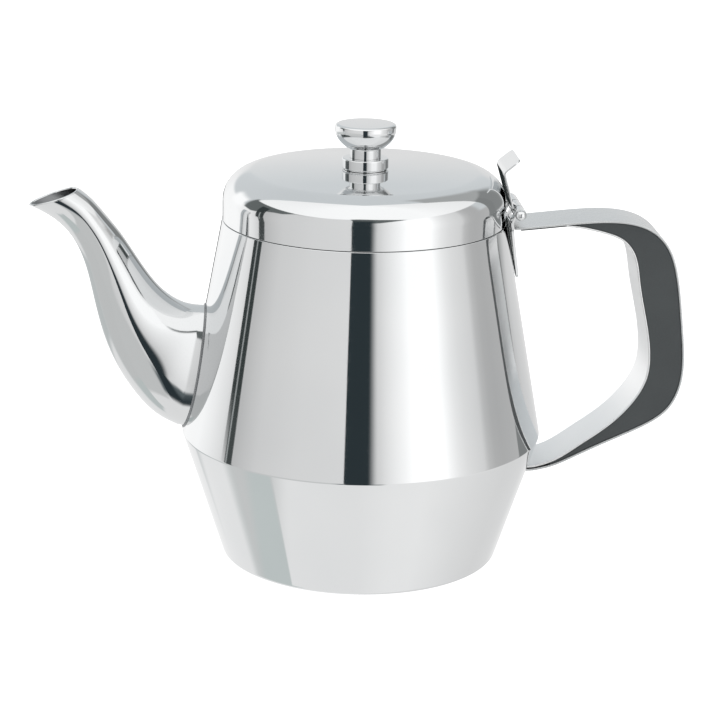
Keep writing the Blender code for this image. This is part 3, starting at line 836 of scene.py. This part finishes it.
def make_lid():
    """The drawn lid: nearly flat dome, soft shoulder, straight skirt and a rounded edge."""
    centre_x = SKIRT_RADIUS - LID_SHOULDER
    dome_z = LID_TOP_Z - DOME_RADIUS
    centre_z = dome_z + math.sqrt((DOME_RADIUS - LID_SHOULDER) ** 2 - centre_x**2)
    meet = math.degrees(math.atan2(centre_z - dome_z, centre_x))

    def skin(drop):
        start = math.degrees(math.acos(KNOB_BORE / (DOME_RADIUS - drop)))
        dome = arc((0, dome_z), DOME_RADIUS - drop, start, meet, 24)
        return dome + arc((centre_x, centre_z), LID_SHOULDER - drop, meet, 0, 32)[1:]

    outside = SKIRT_RADIUS - HEM_ROUND
    inside = SKIRT_RADIUS - SHEET + HEM_ROUND
    hem = arc((outside, SKIRT_LOW_Z + HEM_ROUND), HEM_ROUND, 0, -90, CORNER_STEPS)
    hem += arc((inside, SKIRT_LOW_Z + HEM_ROUND), HEM_ROUND, -90, -180, CORNER_STEPS)
    bm = bmesh.new()
    spin(bm, skin(0) + hem + skin(SHEET)[::-1], ROUND_STEPS, True)
    finish_mesh("lid", bm, LID_POLISH, "lid_steel", "lid", "lid_shell")


def make_knob():
    """The turned knob: flat top, rounded rim, deep bowl and a plain neck."""
    rim = []
    for k in range(KNOB_RIM_STEPS + 1):
        turn = math.pi / 2 * k / KNOB_RIM_STEPS
        across = KNOB_FLAT_RADIUS + (KNOB_RADIUS - KNOB_FLAT_RADIUS) * math.sin(turn)
        rim.append((across, KNOB_RIM_Z + (KNOB_TOP_Z - KNOB_RIM_Z) * math.cos(turn)))
    bowl = []
    for k in range(1, KNOB_BOWL_STEPS + 1):
        depth = math.sin(math.pi / 2 * k / KNOB_BOWL_STEPS)
        spread = (KNOB_RADIUS - KNOB_BOWL_FOOT_RADIUS) * (1 - depth**KNOB_BOWL_POWER)
        bowl.append((KNOB_BOWL_FOOT_RADIUS + spread, KNOB_RIM_Z - depth * (KNOB_RIM_Z - KNOB_NECK_Z)))
    cove = arc((KNOB_NECK_RADIUS + KNOB_COVE, KNOB_NECK_Z - KNOB_COVE), KNOB_COVE, 90, 180, 8)
    foot = [(KNOB_BOWL_FOOT_RADIUS - 0.1, KNOB_NECK_Z - 0.1)] + cove
    foot.append((KNOB_NECK_RADIUS, KNOB_LOW_Z))
    bore = [(KNOB_BORE, KNOB_LOW_Z), (KNOB_BORE, KNOB_BORE_TOP_Z), (0, KNOB_BORE_TOP_Z)]
    bm = bmesh.new()
    spin(bm, [(0, KNOB_TOP_Z)] + rim + bowl + foot + bore, SMALL_STEPS, False)
    finish_mesh("knob_cup", bm, KNOB_POLISH, "knob_steel", "lid", "knob")


def make_washer():
    """The flat washer under the lid's top, with rounded edges."""
    low = low_of("knob_washer")
    high = high_of("knob_washer")
    corners = [
        (KNOB_BORE, high.z, 0),
        (high.x, high.z, 0.15),
        (high.x, low.z, 0.15),
        (KNOB_BORE, low.z, 0),
    ]
    bm = bmesh.new()
    spin(bm, rounded(corners, True), SMALL_STEPS, True)
    finish_mesh("washer", bm, HINGE_STEEL, "hinge_steel", "lid", "knob_washer")


def make_collar():
    """The thick collar under the knob, standing on a narrower foot."""
    high = high_of("knob_collar")
    low = low_of("knob_collar").z - 0.2
    corners = [
        (KNOB_BORE, high.z, 0),
        (high.x, high.z, COLLAR_BEVEL),
        (high.x, low + COLLAR_BEVEL, 0.4),
        (COLLAR_FOOT_RADIUS, low + COLLAR_FOOT_HEIGHT, 0.1),
        (COLLAR_FOOT_RADIUS, low, 0.1),
        (KNOB_BORE, low, 0),
    ]
    bm = bmesh.new()
    spin(bm, rounded(corners, True), SMALL_STEPS, True)
    finish_mesh("collar", bm, KNOB_POLISH, "knob_steel", "lid", "knob_collar")


def make_screw():
    """The slotted screw whose head shows inside the lid."""
    low = low_of("knob_screw")
    high = high_of("knob_screw")
    seat = low.z + SCREW_HEAD_HEIGHT
    corners = [
        (0, high.z, 0),
        (SCREW_RADIUS, high.z, 0.4),
        (SCREW_RADIUS, seat, 0),
        (high.x, seat, 0.2),
        (high.x, low.z, 1.3),
        (0, low.z, 0),
    ]
    bm = bmesh.new()
    spin(bm, rounded(corners, False), SMALL_STEPS, False)
    screw = finish_mesh("screw", bm, HINGE_STEEL, "hinge_steel", "lid", "knob_screw")

    def slot(bm):
        size = Matrix.Diagonal((*SLOT_SIZE, 1))
        bmesh.ops.create_cube(bm, size=1, matrix=Matrix.Translation((0, 0, low.z)) @ size)

    cut(screw, slot)


# ---------------------------------------------------------------- stage


# The floor, in metres: just under the pot, and wide enough to fill the view
FLOOR_Z = -0.0002
FLOOR_HALF_SIZE = 3.0


def make_floor():
    """A plain pale floor under the pot, which the steel doesn't reflect."""
    bm = bmesh.new()
    at = Matrix.Translation((0, 0, FLOOR_Z))
    bmesh.ops.create_grid(bm, x_segments=8, y_segments=8, size=FLOOR_HALF_SIZE, matrix=at)
    mesh = bpy.data.meshes.new("floor")
    bm.to_mesh(mesh)
    bm.free()
    made, tree, shader = principled("pale_floor", 0.0)
    shader.inputs["Roughness"].default_value = 0.9
    shader.inputs["Specular IOR Level"].default_value = 0.0
    shader.inputs["Emission Color"].default_value = (1, 1, 1, 1)
    shader.inputs["Emission Strength"].default_value = 0.85
    patch = grained(tree, 1.5, (1, 1, 1), 2)
    tone = between(tree, patch, (0.46, 0.465, 0.465), (0.47, 0.47, 0.47))
    tree.links.new(tone, shader.inputs["Base Color"])
    mesh.materials.append(made)
    floor = bpy.data.objects.new("floor", mesh)
    floor.visible_glossy = False
    bpy.context.scene.collection.objects.link(floor)


# The camera's place in metres, its direction, its roll, and its lens and sensor in millimetres
CAMERA_AT = Vector((-0.0813, -1.0050, 0.3772))
CAMERA_FORWARD = Vector((0.0753, 0.9573, -0.2790))
CAMERA_ROLL = math.radians(0.97)
CAMERA_LENS = 126.9
SENSOR = 36.0


def make_camera():
    """A long lens a metre away, looking slightly down on the pot's left front."""
    data = bpy.data.cameras.new("camera")
    data.lens = CAMERA_LENS
    data.sensor_width = SENSOR
    camera = bpy.data.objects.new("camera", data)
    bpy.context.scene.collection.objects.link(camera)
    turned = CAMERA_FORWARD.to_track_quat("-Z", "Y").to_matrix().to_4x4()
    rolled = turned @ Matrix.Rotation(CAMERA_ROLL, 4, "Z")
    camera.matrix_world = Matrix.Translation(CAMERA_AT) @ rolled
    bpy.context.scene.camera = camera


# The studio round the pot. Azimuths are in degrees from the front of the set, positive to the
# right of it, and the radiance of each wall panel fades into the next one.
FRONT_AZIMUTH = -94.6
WALLS = (
    (-180, 0.85), (-150, 1.15), (-125, 1.2), (-112, 1.1), (-100, 0.96), (-86, 0.62), (-78, 0.7),
    (-68, 0.78), (-55, 0.81), (-40, 0.85), (-10, 0.88), (4, 0.75), (12, 0.83), (16, 0.95),
    (22, 1.08), (28, 1.2), (34, 1.35), (55, 1.35), (59, 1.2), (64, 1.05), (71, 0.93), (78, 0.87),
    (84, 0.82), (88, 0.64), (94, 0.55), (101, 0.53), (116, 0.56), (127, 0.62), (140, 0.75), (180, 0.85),
)
# The white table, from azimuth to azimuth
TABLE = (
    (-180, 0.98), (-60, 0.96), (0, 0.955), (30, 1.0), (55, 1.01), (75, 0.96), (98, 0.89), (125, 0.82),
    (150, 0.82), (180, 0.98),
)
TABLE_EDGE = -22
WALL_FOOT = -14
# The ceiling panel's lower edge, from azimuth to azimuth, in degrees
CEILING_EDGE = (
    (-112, 32), (-88, 32), (-70, 31.5), (-55, 31), (-28, 32), (-14, 33.5), (-5, 36), (2, 36), (10, 35),
    (20, 34), (30, 32), (40, 30.5), (60, 30.5), (118, 30),
)
CEILING_SIDES = (-110, 120)
# How far the dark gap under the ceiling panel reaches down, from azimuth to azimuth, in degrees
GAP_DEPTH = (
    (-112, 24), (-104, 26), (-98, 24), (-90, 17), (-80, 12), (-72, 10), (-62, 2), (-30, 0.5), (-12, 0.5),
    (-8, 12), (4, 14), (12, 13), (20, 9), (28, 5), (38, 1), (120, 0),
)
GAP_SIDES = (-112, 40)
GAP_SIDE_FADE = 4
CEILING_SIDE_FADE = 2
GAP = (0.15, 0.165, 0.165)
CEILING = (
    (-112, 1.13), (-70, 1.19), (-50, 1.23), (60, 1.25), (75, 1.18), (90, 1.13), (118, 1.08),
)
# The upper wall behind the set: its azimuths, the heights it fades in over, and its radiance
BACK_SIDES = (-112, -104, 112, 104)
BACK_HEIGHTS = (9, 15)
BACK = (0.725, 0.757, 0.775)
# What the camera sees directly, in place of the studio
PLAIN_WHITE = (1.05, 1.05, 1.05)
# Cards: azimuth from, to, softness on the left, on the right, elevation from, to, softness, radiance
CARDS = (
    ("left_wall", -132, -119, 8, 4, 8, 18, 10, (1.25, 1.25, 1.25)),
    ("left_flag", -96.4, -88, 0.4, 0.8, -3, 24, 2.5, (0.045, 0.055, 0.055)),
    ("left_flag_low", -93.4, -87.6, 0.4, 0.8, -16, -3.5, 1.5, (0.07, 0.08, 0.08)),
    ("left_slit", -92.7, -91.8, 0.3, 0.3, -6, 8, 3, (0.4, 0.42, 0.42)),
    ("side_grey", -145, -112, 4, 3, -27, -18, 4, (0.65, 0.68, 0.68)),
    ("left_grey", -103, -73.5, 15, 0.7, -62, -18, 4, (0.635, 0.685, 0.68)),
    ("left_neutral", -103, -73.5, 15, 0.7, -42, -18, 3, (0.69, 0.7, 0.698)),
    ("low_grey", -74, -22, 1, 12, -47, -18, 4, (0.70, 0.71, 0.708)),
    ("flag_foot", -12, 13, 9, 6, -37, -28, 11, (0.13, 0.155, 0.165)),
    ("front_flag", -9.6, 4.5, 0.4, 7, -40, 24, 10, (0.03, 0.042, 0.048)),
    ("right_flag", 119.5, 131, 1, 2, -15, 33, 4, (0.26, 0.27, 0.27)),
    ("right_panel", 131, 144, 2, 14, -4, 33, 4, (0.28, 0.29, 0.29)),
    ("right_panel_high", 120, 146, 2, 14, 33, 62, 4, (0.46, 0.47, 0.47)),
    ("rear_flag", -180, -167, 1, 2, -18, -10, 2, (0.02, 0.025, 0.025)),
)


def math_node(tree, operation, first, second=None):
    """A maths node on sockets or numbers."""
    node = node_in(tree, "ShaderNodeMath", operation=operation)
    for index, value in enumerate((first, second)):
        if value is None:
            continue
        if isinstance(value, (int, float)):
            node.inputs[index].default_value = value
        else:
            tree.links.new(value, node.inputs[index])
    return node.outputs[0]


def step(tree, value, start, end):
    """0 before start and 1 after end, smooth in between; end may lie below start."""
    node = node_in(tree, "ShaderNodeMapRange", From_Min=start, From_Max=end)
    node.interpolation_type = "SMOOTHSTEP"
    tree.links.new(value, node.inputs["Value"])
    return node.outputs["Result"]


def mix(tree, share, first, second):
    """Mixes two colours, each a socket or a constant."""
    node = node_in(tree, "ShaderNodeMix", data_type="RGBA")
    tree.links.new(share, node.inputs["Factor"])
    for socket, value in ((node.inputs[6], first), (node.inputs[7], second)):
        if isinstance(value, tuple):
            socket.default_value = (*value, 1)
        else:
            tree.links.new(value, socket)
    return node.outputs[2]


def azimuth_ramp(tree, share, stops, scale):
    """A value that changes with azimuth, from (azimuth, value) stops."""
    ramp = node_in(tree, "ShaderNodeValToRGB")
    elements = ramp.color_ramp.elements
    for _ in range(len(stops) - 2):
        elements.new(0.5)
    for element, (at, value) in zip(elements, stops):
        element.position = (at + 180) / 360
        element.color = (value * scale, value * scale, value * scale, 1)
    tree.links.new(share, ramp.inputs["Fac"])
    return ramp.outputs["Color"]


def between_sides(tree, azimuth, sides, soft):
    """1 between two azimuths, fading to 0 past them."""
    left = step(tree, azimuth, sides[0] - soft, sides[0])
    return math_node(tree, "MULTIPLY", left, step(tree, azimuth, sides[1] + soft, sides[1]))


def product(tree, first, second):
    """Two values multiplied."""
    return math_node(tree, "MULTIPLY", first, second)


def directions(tree):
    """Azimuth and height of each direction, in degrees."""
    where = node_in(tree, "ShaderNodeTexCoord")
    parts = node_in(tree, "ShaderNodeSeparateXYZ")
    tree.links.new(where.outputs["Generated"], parts.inputs[0])
    turn = Matrix.Rotation(-math.radians(FRONT_AZIMUTH), 2)
    x, y, z = parts.outputs
    ahead = math_node(tree, "ADD", product(tree, x, turn[0][0]), product(tree, y, turn[0][1]))
    aside = math_node(tree, "ADD", product(tree, x, turn[1][0]), product(tree, y, turn[1][1]))
    azimuth = math_node(tree, "DEGREES", math_node(tree, "ARCTAN2", aside, ahead))
    height = math_node(tree, "DEGREES", math_node(tree, "ARCSINE", z))
    return azimuth, height


def walls_and_table(tree, azimuth, height, share):
    """The walls, the darker wall behind and above, and the white table under them."""
    first_left, last_left, first_right, last_right = BACK_SIDES
    left = step(tree, azimuth, first_left, last_left)
    right = step(tree, azimuth, first_right, last_right)
    behind = math_node(tree, "SUBTRACT", 1.0, product(tree, left, right))
    upper = product(tree, behind, step(tree, height, *BACK_HEIGHTS))
    colour = mix(tree, upper, azimuth_ramp(tree, share, WALLS, 1.0), BACK)
    table = azimuth_ramp(tree, share, TABLE, 1.0)
    return mix(tree, step(tree, height, WALL_FOOT, TABLE_EDGE), colour, table)


def degrees_ramp(tree, share, stops):
    """A value in degrees that changes with azimuth, held in the ramp at a hundredth of its size."""
    return product(tree, azimuth_ramp(tree, share, stops, 0.01), 100.0)


def under_ceiling(tree, azimuth, height, share, colour):
    """Adds the dark gap under the ceiling panel, and the panel over it."""
    over = math_node(tree, "SUBTRACT", height, degrees_ramp(tree, share, CEILING_EDGE))
    depth = degrees_ramp(tree, share, GAP_DEPTH)
    reached = step(tree, math_node(tree, "ADD", over, depth), -2, 1)
    gap = product(tree, reached, between_sides(tree, azimuth, GAP_SIDES, GAP_SIDE_FADE))
    gap = product(tree, gap, step(tree, over, 3, 0))
    colour = mix(tree, product(tree, gap, step(tree, depth, 0, 3)), colour, GAP)
    above = step(tree, over, -2, 0)
    within = between_sides(tree, azimuth, CEILING_SIDES, CEILING_SIDE_FADE)
    return mix(tree, product(tree, above, within), colour, azimuth_ramp(tree, share, CEILING, 1.0))


def with_cards(tree, azimuth, height, colour):
    """Adds the cards in turn, each over the ones before it."""
    for _, left, right, soft_left, soft_right, low, high, soft, light in CARDS:
        from_left = step(tree, azimuth, left - soft_left, left)
        across = product(tree, from_left, step(tree, azimuth, right + soft_right, right))
        from_low = step(tree, height, low - soft, low)
        up = product(tree, from_low, step(tree, height, high + soft, high))
        colour = mix(tree, product(tree, across, up), colour, light)
    return colour


def make_world():
    """The studio that the steel reflects; the camera itself sees plain white."""
    world = bpy.data.worlds.new("studio")
    bpy.context.scene.world = world
    world.use_nodes = True
    tree = world.node_tree
    azimuth, height = directions(tree)
    share = math_node(tree, "DIVIDE", math_node(tree, "ADD", azimuth, 180.0), 360.0)
    colour = walls_and_table(tree, azimuth, height, share)
    colour = under_ceiling(tree, azimuth, height, share, colour)
    colour = with_cards(tree, azimuth, height, colour)
    seen = node_in(tree, "ShaderNodeLightPath")
    colour = mix(tree, seen.outputs["Is Camera Ray"], colour, PLAIN_WHITE)
    tree.links.new(colour, tree.nodes["Background"].inputs["Color"])


LAMP_AT = Vector((0.3, -0.3, 1.6))


def make_lights():
    """A broad soft lamp overhead, which lifts the floor and doesn't show in the steel."""
    lamp = bpy.data.lights.new("overhead", "AREA")
    lamp.shape = "DISK"
    lamp.size = 1.6
    lamp.energy = 12
    light = bpy.data.objects.new("overhead", lamp)
    light.location = LAMP_AT
    light.rotation_euler = LAMP_AT.to_track_quat("Z", "Y").to_euler()
    light.visible_glossy = False
    bpy.context.scene.collection.objects.link(light)


def main():
    """Makes every piece, then the stage round them."""
    make_body()
    make_spout()
    make_handle()
    make_body_leaf()
    make_pin()
    make_lid()
    make_lid_leaf()
    make_knob()
    make_collar()
    make_washer()
    make_screw()
    make_floor()
    make_world()
    make_lights()
    make_camera()
    bpy.context.scene.view_settings.view_transform = "Standard"


main()
